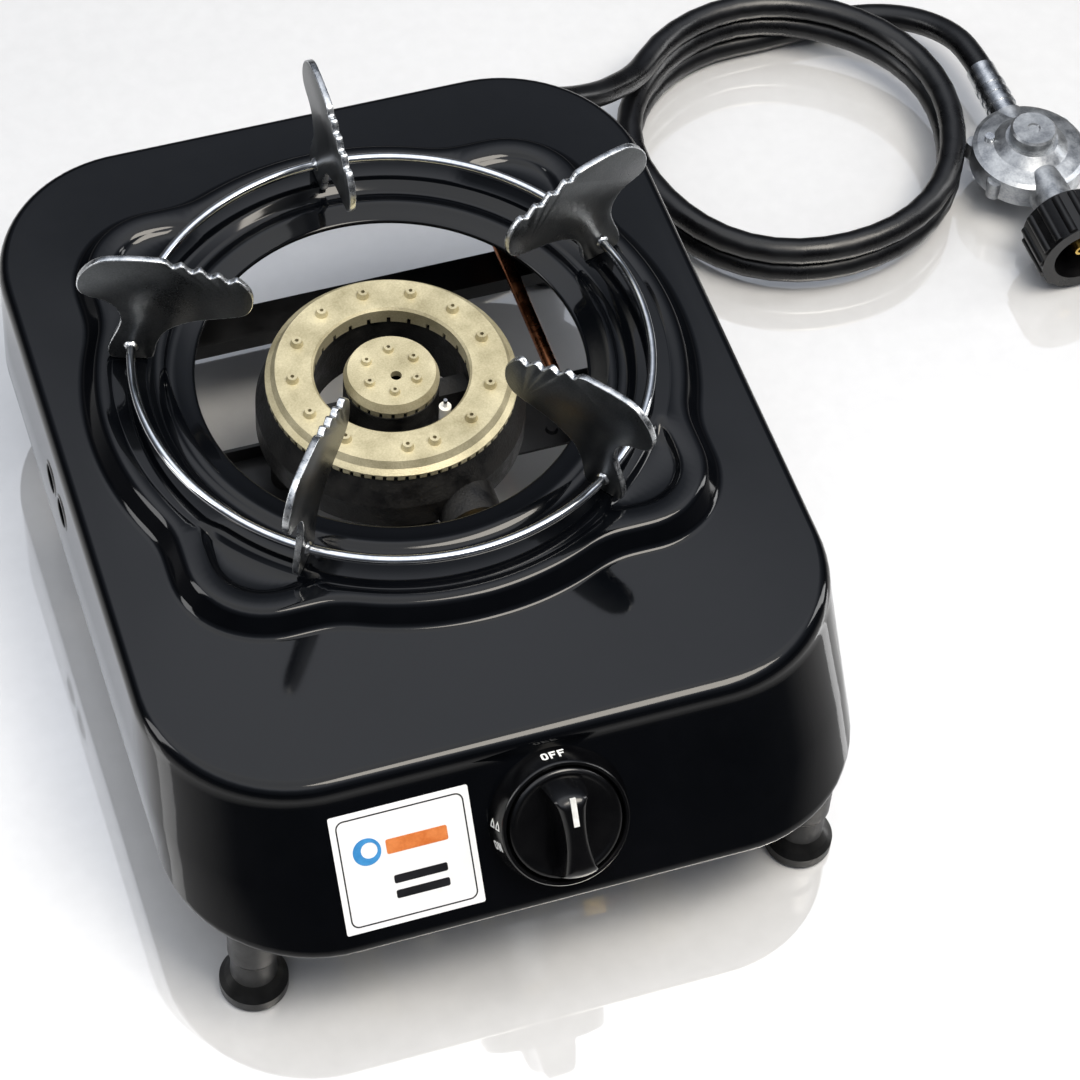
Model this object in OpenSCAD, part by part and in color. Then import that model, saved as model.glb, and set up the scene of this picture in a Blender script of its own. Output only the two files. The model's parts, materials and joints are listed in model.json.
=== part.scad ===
// Single-burner gas camping stove with a lift-off pan support, a push-and-turn
// valve, two lift-off burner caps, and a hose with a screw-on regulator.

/* [Housing] */
// Half width of the housing at its hem
base_half_w = 140; // [128:1:170]
// Distance from burner centre to the front hem
base_front = 220; // [200:1:240]
// Distance from burner centre to the back wall
base_back = 151; // [148:1:180]
// Height of the flat top panel above the surface it stands on
top_z = 106; // [98:1:116]
// Height of the hem above the surface it stands on
hem_z = 45; // [40:1:48]
// Sheet thickness of the housing
sheet_t = 1.0; // [0.8:0.1:1.6]
// Corner radius of the housing seen from above
corner_r = 61; // [45:1:66]
// How far the front wall leans back from hem to shoulder
front_lean = 38; // [28:1:42]
// Radius of the rounded shoulder between wall and top panel
shoulder_r = 7; // [4:0.5:9]
// Width of the inward hem flange
flange_w = 13; // [10:1:18]

/* [Top panel pressing] */
// Radius of the round part of the pressing
press_r = 125; // [122:1:127]
// Half width of the square part of the pressing, which makes the corner lobes
press_half = 112; // [108:1:114]
// Rise of the pressing above the top panel
press_rise = 9; // [6:0.5:10]
// Depth of the four corner pockets
pocket_depth = 2.6; // [1:0.1:4]
// Radius of the burner opening
opening_r = 79; // [74:1:84]

/* [Pan support] */
// Radius of the wire ring at the wire's centre
ring_r = 104; // [100:1:106]
// Thickness of the ring wire
wire_d = 4; // [3:0.5:5]
// Height of the wire's centre above the seat of the legs
ring_lift = 8; // [6:0.5:9]
// Height of the arms' top edge above the seat of the legs
arm_h = 60; // [50:0.5:66]
// Thickness of an arm
arm_t = 2.8; // [2:0.1:4]
// Radius of an arm's inner tip
arm_in = 55; // [54:1:60]
// Radius of an arm's outer tip
arm_out = 124; // [120:1:130]

/* [Burner] */
// Outer radius of the outer cap
cap_r = 51; // [47:1:53]
// Hole radius of the outer cap
cap_hole_r = 31.5; // [29:0.5:34]
// Height of the outer cap
cap_h = 8; // [6:0.5:10]
// Outer radius of the inner cap
inner_cap_r = 19.5; // [17:0.5:21]
// Depth of the burner body's rims below the flat top panel
rim_drop = 3; // [1:0.5:8]
// Number of flame ports around the outer cap
outer_ports = 72; // [48:4:80]
// Number of flame ports around the outer cap's hole
hole_ports = 24; // [12:2:30]
// Bore of the mixing tubes
tube_bore = 16; // [12:1:17]
// Wall of the mixing tubes
tube_wall = 1.5; // [1:0.1:2]

/* [Knob and valve] */
// Sideways place of the knob
knob_x = 6; // [-20:1:20]
// Height of the knob's centre above the hem
knob_up = 31; // [28:1:34]
// Width of the bezel's ring outside the knob's disc
bezel_rim = 5; // [4:0.5:7]
// Height of the bezel
bezel_h = 10.5; // [8:0.5:12]
// Radius of the knob's disc
knob_r = 22.5; // [20:0.5:24]
// Length of the knob from its disc to the face of its grip
knob_h = 20; // [16:1:24]
// Push travel of the knob
push_travel = 3; // [2:0.5:3.5]
// Diameter of the valve stem
stem_d = 6; // [5:0.5:7]
// Clearance around turning and sliding shafts
run_clear = 0.05; // [0.03:0.01:0.1]

/* [Feet] */
// Distance of a foot's centre in from the housing's sides
foot_inset = 27; // [25:1:32]
// Diameter of a foot where it meets the hem
foot_top_d = 20; // [16:1:24]
// Diameter of a foot's base
foot_base_d = 27; // [22:1:30]
// Diameter of the screws through the feet
foot_screw_d = 5; // [4:0.5:6]

/* [Label] */
// Width of the blank label
label_w = 55; // [40:1:60]
// Height of the blank label
label_h = 49; // [30:1:50]
// Distance from the bezel to the label's edge
label_gap = 5.5; // [4:0.5:12]

/* [Gas inlet and hose] */
// Sideways place of the gas inlet on the back wall
inlet_x = 20; // [10:1:26]
// Height of the gas inlet above the hem
inlet_up = 21; // [18:1:24]
// Outer diameter of the hose
hose_d = 12; // [10:1:14]
// Outer diameter of the regulator's disc
reg_d = 52; // [46:1:60]
// Outer diameter of the hand wheel
wheel_d = 42; // [38:1:44]
// Length of the hand wheel
wheel_l = 27; // [22:1:32]

/* [Hidden] */
$fn = 64;

// Points around each ring of the housing
around = 80;
// The burner axis is the working centre; this moves the origin to the middle of the stove
burner_y = 26.5;
hem_bend = 1.5;
shoulder_z = top_z - shoulder_r;
top_inset = 4.5;
wall_half_w = base_half_w - 0.7;
wall_front = base_front - front_lean;
seat_z = top_z + press_rise;
wire_z = seat_z + ring_lift;
tilt = atan(front_lean / (shoulder_z - hem_z));
knob_z = hem_z + knob_up;
knob_y = -(wall_front + (shoulder_z - knob_z) * tan(tilt));
bezel_r = knob_r + bezel_rim;
label_x = knob_x - bezel_r - label_gap - label_w / 2;
label_drop = 3;
label_t = 0.4;

// Mixing tubes
outer_tube_x = knob_x + 10;
inner_tube_x = knob_x - 12;
rim_z = top_z - rim_drop;
outer_tube_z = rim_z - 22;
inner_tube_z = rim_z - 37;
tube_r = tube_bore / 2 + tube_wall;
valve_back = knob_y + 44;
tube_mouth = valve_back + 16;
bar_z = hem_z + sheet_t;
bar_t = 1.5;
body_r = cap_r + 4;

// Gas line
pipe_d = 6;
inlet_z = hem_z + inlet_up;
pipe_x = 76;
pipe_bend = 14;
elbow_y = base_back + 18;
nut_start = inlet_x + 15;
nut_l = 15;

// Hose: the lead runs from the inlet's ferrule to the coil, the tail from the coil to
// the regulator's ferrule; [x, y, z] with y from the burner axis
coil_at = [240, 152];
coil_r = 74;
coil_h = 37.5;
lead_points = [[78, 169, 66], [90, 169, 66], [102.5, 169, 64], [112, 169.5, 61.5], [121.5, 170.5, 58],
    [130.5, 172.5, 54], [139.5, 175, 49.5], [148.5, 178, 45.5], [157, 182, 41.5], [165.5, 187, 38],
    [173.5, 192, 35], [181, 198, 32.5], [187.7, 204.3, 31.5]];
tail_points = [[240, 226, 6], [254, 226, 6], [268, 226, 6.5], [283, 226, 7.5], [297.5, 224, 9.5],
    [311, 218.5, 12.5], [322.5, 209.5, 16], [331.5, 198, 19], [337, 184.5, 21.5], [339, 170, 22],
    [339, 164, 22]];
reg_at = [339, 108];
reg_z = 22;

function clamp(v, a, b) = min(max(v, a), b);
function smooth(v) = let (c = clamp(v, 0, 1)) c * c * (3 - 2 * c);

// Distance from the burner axis to a rounded rectangle's edge, in direction a
function ray(a, hw, front, back, r) =
    let (c = cos(a), s = sin(a), len = s > 0 ? back : front,
         t = min(hw / max(abs(c), 1e-6), len / max(abs(s), 1e-6)),
         x = t * abs(c), y = t * abs(s), cx = hw - r, cy = len - r)
    (x > cx && y > cy)
        ? let (b = cx * abs(c) + cy * abs(s)) b + sqrt(max(b * b - cx * cx - cy * cy + r * r, 0))
        : t;

// Blend of two distances that takes the larger one with a rounded change-over
function soft_max(a, b, k) = let (h = clamp(0.5 + (a - b) / (2 * k), 0, 1)) b + (a - b) * h + k * h * (1 - h);

// Edge of the pressing's lobed outline, moved inward by d
function lobe(a, d) = soft_max(press_r - d, ray(a, press_half - d, press_half - d, press_half - d, 38 - d), 4);
function pocket(a) = pocket_depth * smooth((lobe(a, 16) - ring_r - 8) / 6);

function rect_ring(hw, front, back, r, z) = [for (i = [0:around - 1])
    let (a = i * 360 / around, d = ray(a, hw, front, back, r)) [d * cos(a), d * sin(a), z]];
function lobe_ring(d, z, sunk = 0) = [for (i = [0:around - 1])
    let (a = i * 360 / around, q = max(lobe(a, d), ring_r + 8 - (d - 16) * 0.3))
    [q * cos(a), q * sin(a), z - sunk * pocket(a)]];
function circle_ring(r, z, sunk = 0) = [for (i = [0:around - 1])
    let (a = i * 360 / around) [r * cos(a), r * sin(a), z - sunk * pocket(a)]];

// Rings of one skin of the housing from the flange up and in to the opening; t moves it inward
function skin(t) = concat(
    [rect_ring(base_half_w - flange_w, base_front - flange_w, base_back - flange_w, 105, hem_z + t),
     rect_ring(base_half_w - hem_bend - t / 2, base_front - hem_bend - 0.8 - t / 2,
        base_back - hem_bend - t / 2, corner_r - hem_bend, hem_z + t),
     rect_ring(base_half_w - t, base_front - hem_bend * tan(tilt) - t, base_back - t, corner_r - t,
        hem_z + hem_bend + t / 2),
     rect_ring(wall_half_w - t, wall_front - t, base_back - t, corner_r - t, shoulder_z)],
    [for (q = [25:22:69]) let (x = (1 - cos(q)) * top_inset, u = (shoulder_r - t) * sin(q))
        rect_ring(wall_half_w - t - x, wall_front - t - x * 1.5, base_back - t - x * 1.5,
            corner_r - t - x, shoulder_z + u)],
    [rect_ring(wall_half_w - top_inset, wall_front - top_inset * 1.5, base_back - top_inset * 1.5,
        corner_r - top_inset, top_z - t),
     lobe_ring(0, top_z - t), lobe_ring(1.5, top_z + 0.6 - t), lobe_ring(6.5, seat_z - 0.5 - t),
     lobe_ring(8, seat_z - t), lobe_ring(16, seat_z - t), lobe_ring(19, seat_z - t, 1),
     circle_ring(ring_r + 6.6, seat_z - t, 1), circle_ring(ring_r + 4, seat_z - t),
     circle_ring(ring_r - 6, seat_z - t), circle_ring(ring_r - 9, seat_z - 2.6 - t),
     circle_ring(ring_r - 12.5, seat_z - 2.8 - t), circle_ring(ring_r - 14, seat_z - 1.6 - t),
     circle_ring(ring_r - 17, seat_z - 1.8 - t), circle_ring(opening_r + 1.2, seat_z - 3.4 - t),
     circle_ring(opening_r, seat_z - 4.2 - t)]);

// Closes a stack of rings into one surface that runs round from the last ring to the first
module loft(rings) {
    n = len(rings[0]);
    m = len(rings);
    points = [for (ring = rings) each ring];
    faces = [for (j = [0:m - 1], i = [0:n - 1]) each
        let (k = (j + 1) % m, l = (i + 1) % n, a = j * n + i, b = j * n + l, c = k * n + l, d = k * n + i)
        [[a, c, b], [a, d, c]]];
    polyhedron(points, faces);
}

// Tube along points, with flat ends
module sweep(path, r, sides) {
    last = len(path) - 1;
    rings = [for (k = [0:last])
        let (t = unit(path[min(k + 1, last)] - path[max(k - 1, 0)]),
             u = unit(cross([0, 0, 1], t)), v = cross(t, u))
        [for (i = [0:sides - 1]) path[k] + r * (cos(i * 360 / sides) * u + sin(i * 360 / sides) * v)]];
    points = [for (ring = rings) each ring];
    walls = [for (j = [0:last - 1], i = [0:sides - 1]) each
        let (l = (i + 1) % sides, a = j * sides + i, b = j * sides + l)
        [[a, a + sides, b + sides], [a, b + sides, b]]];
    ends = [[for (i = [0:sides - 1]) i], [for (i = [sides - 1:-1:0]) last * sides + i]];
    polyhedron(points, concat(walls, ends));
}
function unit(v) = v / norm(v);

// Smooth curve through hand-set points, with n steps between each pair
function spline(p, n) = concat([for (k = [0:len(p) - 2], j = [0:n - 1])
    let (a = p[max(k - 1, 0)], b = p[k], c = p[k + 1], d = p[min(k + 2, len(p) - 1)], t = j / n)
    0.5 * (2 * b + (c - a) * t + (2 * a - 5 * b + 4 * c - d) * t * t + (3 * b - 3 * c + d - a) * t * t * t)],
    [p[len(p) - 1]]);

// The working centre is the burner axis at the level of the surface below
module at_burner() translate([0, burner_y, 0]) children();
// At the knob: +Z out of the front wall, +Y up along it, zero on the wall's outside
module at_knob() at_burner() translate([knob_x, knob_y, knob_z]) rotate([90 - tilt, 0, 0]) children();
module along_y(y) translate([0, y, 0]) rotate([-90, 0, 0]) children();
module along_x(x) translate([x, 0, 0]) rotate([0, 90, 0]) children();
slot_w = 1.2;
module slotted_head(d, h) difference() {
    cylinder(d = d, h = h);
    translate([-d / 2 - 1, -slot_w / 2, h - 1]) cube([d + 2, slot_w, 2]);
}
module hexagon(across, h) cylinder(d = across / cos(30), h = h, $fn = 6);
module pipe(od, id, h) difference() {
    cylinder(d = od, h = h);
    translate([0, 0, -1]) cylinder(d = id, h = h + 2);
}

foot_x = base_half_w - foot_inset;
foot_front = -(base_front - foot_inset);
foot_back = base_back - foot_inset;
foot_spots = [[-foot_x, foot_front], [foot_x, foot_front], [-foot_x, foot_back], [foot_x, foot_back]];

vent_d = 12;
vent_z = top_z - 30;
vent_pitch = 18;

module housing() color([0.05, 0.055, 0.065]) at_burner() difference() {
    loft(concat(skin(0), [for (k = [len(skin(0)) - 1:-1:0]) skin(sheet_t)[k]]));
    translate([knob_x, knob_y, knob_z]) rotate([90 - tilt, 0, 0]) translate([0, 0, -12])
        cylinder(d = 18, h = 24);
    translate([inlet_x, base_back - 8, inlet_z]) rotate([-90, 0, 0]) cylinder(d = 15, h = 16);
    for (s = [-0.5, 0.5]) translate([-base_half_w - 5, s * vent_pitch + 2, vent_z]) rotate([0, 90, 0])
        cylinder(d = vent_d, h = 16);
    for (p = foot_spots) translate([p.x, p.y, hem_z - 4]) cylinder(d = foot_screw_d, h = 10);
}

// Strip across the housing that carries the burner, with a folded-up back edge
bar_w = 30;
bar_y = 6;
bar_half = base_half_w - sheet_t - 3;
module burner_bar() color([0.07, 0.07, 0.08]) at_burner() difference() {
    union() {
        translate([-bar_half, bar_y - bar_w / 2, bar_z]) cube([2 * bar_half, bar_w, bar_t]);
        translate([-bar_half + 12, bar_y + bar_w / 2 - bar_t, bar_z]) cube([2 * bar_half - 24, bar_t, 9]);
        for (s = [-1, 1], dy = [-7, 7]) translate([s * (opening_r - 8), bar_y + dy, bar_z])
            cylinder(d1 = 7, d2 = 4, h = bar_t + 1.6);
    }
    for (x = burner_screw_x) translate([x, bar_y, bar_z - 1]) cylinder(d = 4.2, h = 4);
}
burner_screw_x = [-42, 42];

// Heat strip behind the burner
module rear_strip() color([0.08, 0.08, 0.09]) at_burner() {
    translate([-bar_half, 78, bar_z]) cube([2 * bar_half, 22, bar_t]);
    translate([-bar_half + 12, 78, bar_z]) cube([2 * bar_half - 24, bar_t, 8]);
}

// Zinc strip that carries the valve, parallel to the front, screwed to the hem by two tabs
bracket_t = 1.6;
bracket_half = 70;
bracket_screw_x = [-62, 62];
bracket_screw_y = -(base_front - 10);
module valve_bracket() color([0.78, 0.68, 0.38]) at_burner() difference() {
    union() {
        translate([-bracket_half, valve_back - 12, bar_z]) cube([2 * bracket_half, 24, bracket_t]);
        translate([knob_x - 16, valve_back - 9.6, bar_z]) cube([32, bracket_t, 8]);
        for (x = bracket_screw_x) translate([x - 8, bracket_screw_y - 5, bar_z])
            cube([16, valve_back - bracket_screw_y, bracket_t]);
    }
    for (x = bracket_screw_x) translate([x, bracket_screw_y, bar_z - 1]) cylinder(d = 4, h = 4);
}
module bracket_screws() color([0.8, 0.8, 0.82]) at_burner()
    for (x = bracket_screw_x) translate([x, bracket_screw_y, bar_z]) {
        cylinder(d = 4, h = 4);
        translate([0, 0, bracket_t]) slotted_head(8, 2.4);
    }

// Cast burner: an outer channel and an inner cup, joined by arms, on two screw pads
module burner_body() color([0.09, 0.09, 0.09]) at_burner() difference() {
    union() {
        rotate_extrude() polygon([[cap_hole_r + 1, rim_z - 27], [body_r - 2, rim_z - 27],
            [body_r, rim_z - 24],
            [body_r, rim_z - 12], [cap_r - 0.5, rim_z], [cap_r - 4.5, rim_z], [cap_r - 4.5, rim_z - 8],
            [body_r - 5, rim_z - 14], [body_r - 5, rim_z - 22], [cap_hole_r + 5, rim_z - 22],
            [cap_hole_r + 5, rim_z], [cap_hole_r + 1, rim_z]]);
        rotate_extrude() polygon([[0, inner_tube_z - 12], [inner_cap_r - 2, inner_tube_z - 12],
            [inner_cap_r, inner_tube_z - 9],
            [inner_cap_r, rim_z], [inner_cap_r - 4, rim_z], [inner_cap_r - 4, inner_tube_z - 8],
                [0, inner_tube_z - 8]]);
        for (s = [-1, 1]) translate([s * (inner_cap_r + 6), 0, rim_z - 16])
            cube([20, 9, 10], center = true);
        for (x = burner_screw_x) translate([x, bar_y, bar_z + bar_t])
            cylinder(d = 14, h = rim_z - 25 - bar_z - bar_t);
        translate([outer_tube_x, -body_r - 9, outer_tube_z]) rotate([-90, 0, 0])
            cylinder(r = tube_r + 3, h = 22);
        translate([inner_tube_x, -body_r - 9, inner_tube_z]) rotate([-90, 0, 0])
            cylinder(r = tube_r + 2.4, h = body_r + 2);
    }
    translate([outer_tube_x, -body_r - 10, outer_tube_z]) rotate([-90, 0, 0])
        cylinder(r = tube_r, h = 13);
    translate([outer_tube_x, -body_r, outer_tube_z]) rotate([-90, 0, 0])
        cylinder(r = tube_bore / 2 - 1, h = 18);
    translate([inner_tube_x, -body_r - 10, inner_tube_z]) rotate([-90, 0, 0])
        cylinder(r = tube_r, h = 20);
    translate([inner_tube_x, -body_r, inner_tube_z]) rotate([-90, 0, 0])
        cylinder(r = tube_bore / 2 - 1, h = body_r);
    for (x = burner_screw_x) translate([x, bar_y, bar_z - 1]) cylinder(d = 4, h = 14);
}
module burner_screws() color([0.75, 0.75, 0.76]) at_burner() for (x = burner_screw_x)
    translate([x, bar_y, 0]) {
    translate([0, 0, bar_z]) cylinder(d = 4, h = 12);
    translate([0, 0, bar_z]) mirror([0, 0, 1]) slotted_head(8, 2.6);
}

module mixing_tube(x, z, end) color([0.76, 0.62, 0.33]) at_burner() translate([x, 0, z])
    along_y(tube_mouth)
    pipe(2 * tube_r, tube_bore, end - tube_mouth);
module mixing_tube_outer() mixing_tube(outer_tube_x, outer_tube_z, -body_r + 3);
module mixing_tube_inner() mixing_tube(inner_tube_x, inner_tube_z, -body_r + 10);

// Shutter: a cup over the tube's mouth with two air windows and a finger tab
shutter_r = tube_r + 1.2;
module air_shutter(x, z) color([0.8, 0.72, 0.45]) at_burner() translate([x, 0, z])
    along_y(tube_mouth - 1.6) difference() {
    union() {
        cylinder(r = shutter_r, h = 9);
        translate([-2, shutter_r - 1, 2]) cube([4, 4.5, 1.2]);
    }
    translate([0, 0, 1.2]) cylinder(r = tube_r + run_clear, h = 9);
    translate([0, 0, -1]) cylinder(d = 8.5, h = 4);
    for (s = [-1, 1]) translate([s * 6.3 - 1.4, -3.5, -1]) cube([2.8, 7, 3]);
}
module air_shutter_outer() air_shutter(outer_tube_x, outer_tube_z);
module air_shutter_inner() air_shutter(inner_tube_x, inner_tube_z);

module injectors() color([0.82, 0.66, 0.3]) at_burner()
    for (p = [[outer_tube_x, outer_tube_z], [inner_tube_x, inner_tube_z]]) translate([p[0], 0, p[1]])
        along_y(valve_back) difference() {
        union() {
            hexagon(9, 5);
            cylinder(d = 6, h = 12);
            translate([0, 0, 12]) cylinder(d1 = 6, d2 = 3.4, h = 3);
        }
        translate([0, 0, -1]) cylinder(d = 1.1, h = 18);
    }

// Ring cap with flame ports round both edges and nubs on its face
port_w = 1.6;
nub_r = (cap_r + cap_hole_r) / 2 - 1;
nub_places = [8, 35, 62, 90, 118, 145, 172, 199, 226, 262, 278, 305, 332];
module outer_burner_cap() color([0.78, 0.72, 0.55]) at_burner() difference() {
    union() {
        rotate_extrude() polygon([[cap_hole_r, rim_z], [cap_hole_r + 3.4, rim_z],
            [cap_hole_r + 5, rim_z + cap_h - 3],
            [cap_r - 6, rim_z + cap_h - 3], [cap_r - 4, rim_z], [cap_r - 0.6, rim_z],
                [cap_r, rim_z + 1.2],
            [cap_r, rim_z + 3.6], [cap_r - 2.2, rim_z + 5.2], [cap_r - 4, rim_z + cap_h],
            [cap_hole_r + 1, rim_z + cap_h], [cap_hole_r, rim_z + cap_h - 1]]);
        for (a = nub_places) rotate(a) translate([nub_r, 0, rim_z + cap_h - 1])
            cylinder(d1 = 6, d2 = 4, h = 3.4);
    }
    for (a = nub_places) rotate(a) translate([nub_r, 0, rim_z + 2]) cylinder(d = 1.6, h = 12);
    for (i = [0:outer_ports - 1]) rotate(i * 360 / outer_ports)
        translate([cap_r - 6, -port_w / 2, rim_z - 1]) cube([8, port_w, 4]);
    for (i = [0:hole_ports - 1]) rotate(i * 360 / hole_ports)
        translate([cap_hole_r - 1, -port_w / 2, rim_z - 1]) cube([7, port_w, 3.6]);
}
inner_ports = 24;
inner_port_w = 1.4;
module inner_burner_cap() color([0.76, 0.7, 0.53]) at_burner() difference() {
    union() {
        rotate_extrude() polygon([[0, rim_z + 4], [inner_cap_r - 6, rim_z + 4],
            [inner_cap_r - 4, rim_z], [inner_cap_r - 0.5, rim_z],
            [inner_cap_r, rim_z + 3.4], [inner_cap_r - 1.6, rim_z + 7], [0, rim_z + 7]]);
        for (a = [20:60:320]) rotate(a) translate([11, 0, rim_z + 6]) cylinder(d1 = 5, d2 = 3.6, h = 2.8);
    }
    for (a = [20:60:320]) rotate(a) translate([11, 0, rim_z + 1]) cylinder(d = 1.5, h = 12);
    translate([1, -3, rim_z + 1]) cylinder(d = 4.6, h = 12);
    for (i = [0:inner_ports - 1]) rotate(i * 360 / inner_ports)
        translate([inner_cap_r - 7, -inner_port_w / 2, rim_z - 1])
        cube([8, inner_port_w, 3.6]);
}

// Spark electrode standing in the gap between the two burner rings
spark_at = [16.5, -19.8];
module electrode_ceramic() color([0.92, 0.9, 0.86]) at_burner()
    translate([spark_at.x, spark_at.y, rim_z - 30]) difference() {
    union() {
        cylinder(d = 5, h = 32);
        cylinder(d = 7, h = 12);
    }
    translate([0, 0, -1]) cylinder(d = 1.6, h = 36);
}
module electrode_wire() color([0.7, 0.7, 0.7]) at_burner() translate([spark_at.x, spark_at.y, 0]) {
    translate([0, 0, rim_z - 36]) cylinder(d = 1.6, h = 42);
    translate([0, 0, rim_z - 36]) cylinder(d = 3, h = 6);
}
module electrode_bracket() color([0.75, 0.73, 0.68]) at_burner() difference() {
    union() {
        translate([spark_at.x - 2.5, spark_at.y - 3.2, rim_z - 24]) cube([8.5, 7.2, 1.2]);
        translate([spark_at.x + 4.8, spark_at.y - 3.2, bar_z + bar_t])
            cube([1.2, 7.2, rim_z - 24 - bar_z - bar_t + 1.2]);
        translate([spark_at.x - 2.5, spark_at.y - 3.2, bar_z + bar_t])
            cube([8.5, bar_y - bar_w / 2 - spark_at.y + 13, 1.2]);
    }
    translate([spark_at.x, spark_at.y, rim_z - 26]) cylinder(d = 7, h = 6);
}
// Piezo igniter clipped to the valve bracket, and its lead to the electrode
igniter_at = [-30, valve_back, bar_z + bracket_t];
module igniter() color([0.93, 0.92, 0.88]) at_burner() translate(igniter_at) {
    cylinder(d = 15, h = 18);
    translate([0, 0, 18]) cylinder(d = 9, h = 8);
    translate([-9, -9, 0]) cube([18, 18, 3]);
}
cable_points = [igniter_at + [0, 0, 26], igniter_at + [0, 2, 33], [-28, -140, 86], [-26, -120, 84],
    [-25, -100, 72],
    [-20, -84, 56], [-7, -66, 48.5], [8, -46, 48.5], [15, -32, 52], [16.5, -22, 59.5],
    [spark_at.x, spark_at.y, rim_z - 36]];
module igniter_cable() color([0.85, 0.2, 0.12]) at_burner() sweep(spline(cable_points, 2), 1.5, 8);

// Valve: a body with a turning plug, a push stem and its spring, and a gland plate
plug_r = 7;
plug_low = -35;
plug_high = -24;
gland_low = -13;
valve_r = 11;
disc_low = 2.4 + push_travel + 0.4;
stem_low = plug_low + 3 + push_travel + 0.6;
stem_top = disc_low + knob_h - 7.5;
module valve_body() color([0.72, 0.72, 0.7]) difference() {
    union() {
        at_knob() translate([0, 0, plug_low - 4]) cylinder(r = valve_r, h = gland_low + 4 - plug_low);
        at_burner() translate([knob_x - 18, valve_back - 12, bar_z + 8])
            cube([36, 12, outer_tube_z - bar_z]);
        at_burner() translate([knob_x, valve_back - 8, inlet_z]) rotate([0, 90, 0])
            cylinder(d = 11, h = 30);
    }
    at_knob() translate([0, 0, plug_low]) cylinder(r = plug_r + run_clear, h = 40);
    at_burner() translate([knob_x + 17, valve_back - 8, inlet_z]) rotate([0, 90, 0])
        cylinder(d = pipe_d, h = 20);
}
module valve_gland() color([0.8, 0.7, 0.4]) at_knob() translate([0, 0, gland_low]) difference() {
    union() {
        cylinder(r = valve_r, h = 2);
        hexagon(15, 6);
    }
    translate([0, 0, -1]) cylinder(d = stem_d + 2 * run_clear, h = 10);
}
module valve_plug() color([0.8, 0.66, 0.32]) at_knob() difference() {
    translate([0, 0, plug_low + 0.2]) cylinder(r = plug_r, h = plug_high - plug_low - 0.2);
    translate([0, 0, plug_low + 3]) cylinder(d = stem_d + 2 * run_clear, h = 20);
}
module valve_stem() color([0.85, 0.85, 0.86]) at_knob() {
    translate([0, 0, stem_low]) cylinder(d = stem_d, h = stem_top - stem_low);
    translate([0, 0, gland_low - 1.8]) cylinder(d = stem_d + 4, h = 1.2);
}
module stem_spring() color([0.75, 0.75, 0.78]) at_knob()
    translate([0, 0, plug_high]) pipe(stem_d + 6, stem_d + 1.2, 5.6);

// Bezel: a cone with a dished face that the knob's disc sinks into
module bezel() color([0.04, 0.04, 0.045]) at_knob() rotate_extrude()
    polygon([[9.5, 0], [bezel_r, 0], [bezel_r, 1.2],
    [bezel_r - 2.6, bezel_h], [knob_r + 0.8, bezel_h], [knob_r + 0.6, 2.4], [9.5, 2.4]]);

// Knob: a disc with a waisted grip across it; the bore takes the stem
disc_high = disc_low + 5;
grip_half = knob_r - 1.2;
line_w = 2.2;
line_l = 11.5;
function grip_w(y) = 5.2 + 3.4 * pow(abs(y) / grip_half, 2);
module knob() color([0.03, 0.03, 0.035]) at_knob() difference() {
    union() {
        rotate_extrude() polygon([[0, disc_low], [knob_r - 0.6, disc_low], [knob_r, disc_low + 1],
            [knob_r, disc_high - 1.2],
            [knob_r - 1.4, disc_high], [0, disc_high]]);
        intersection() {
            translate([0, 0, disc_low + 1]) linear_extrude(knob_h - 1) polygon(concat(
                [for (y = [-grip_half:grip_half / 8:grip_half]) [grip_w(y), y]],
                [for (y = [grip_half:-grip_half / 8:-grip_half]) [-grip_w(y), y]]));
            rotate_extrude() polygon([[0, disc_low], [knob_r - 0.8, disc_low], [knob_r - 0.8, disc_high],
                [knob_r - 3.5, disc_low + knob_h - 1.5], [knob_r - 5, disc_low + knob_h],
                    [0, disc_low + knob_h]]);
        }
    }
    translate([0, 0, disc_low - 1]) cylinder(d = stem_d, h = stem_top - disc_low + 4);
    translate([-line_w / 2, 5, disc_low + knob_h - 0.7]) cube([line_w, line_l, 3]);
}
module knob_line() color([0.93, 0.93, 0.9]) at_knob()
    translate([-line_w / 2, 5, disc_low + knob_h - 0.7]) cube([line_w, line_l, 1]);

// Gas pipe from the valve along the right side to the inlet
pipe_turn_y = valve_back - 8 + pipe_bend;
pipe_end_y = base_back - 20;
module pipe_corner() rotate_extrude(angle = 90) translate([pipe_bend, 0]) circle(d = pipe_d);
module gas_pipe() color([0.8, 0.55, 0.38]) at_burner() translate([0, 0, inlet_z]) {
    translate([0, valve_back - 8, 0]) along_x(knob_x + 17)
        cylinder(d = pipe_d, h = pipe_x - pipe_bend - knob_x - 17);
    translate([pipe_x - pipe_bend, pipe_turn_y, 0]) rotate([0, 0, -90]) pipe_corner();
    translate([pipe_x, 0, 0]) along_y(pipe_turn_y)
        cylinder(d = pipe_d, h = pipe_end_y - pipe_bend - pipe_turn_y);
    translate([pipe_x - pipe_bend, pipe_end_y - pipe_bend, 0]) pipe_corner();
    translate([0, pipe_end_y, 0]) along_x(inlet_x + 7.5)
        cylinder(d = pipe_d, h = pipe_x - pipe_bend - inlet_x - 7.5);
}
module pipe_nut() difference() {
    hexagon(12, 9);
    translate([0, 0, -1]) cylinder(d = pipe_d, h = 12);
}
module pipe_nuts() color([0.82, 0.66, 0.3]) at_burner() translate([0, 0, inlet_z]) {
    translate([0, valve_back - 8, 0]) along_x(knob_x + 30) pipe_nut();
    translate([0, pipe_end_y, 0]) along_x(inlet_x + 8) pipe_nut();
}

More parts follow.
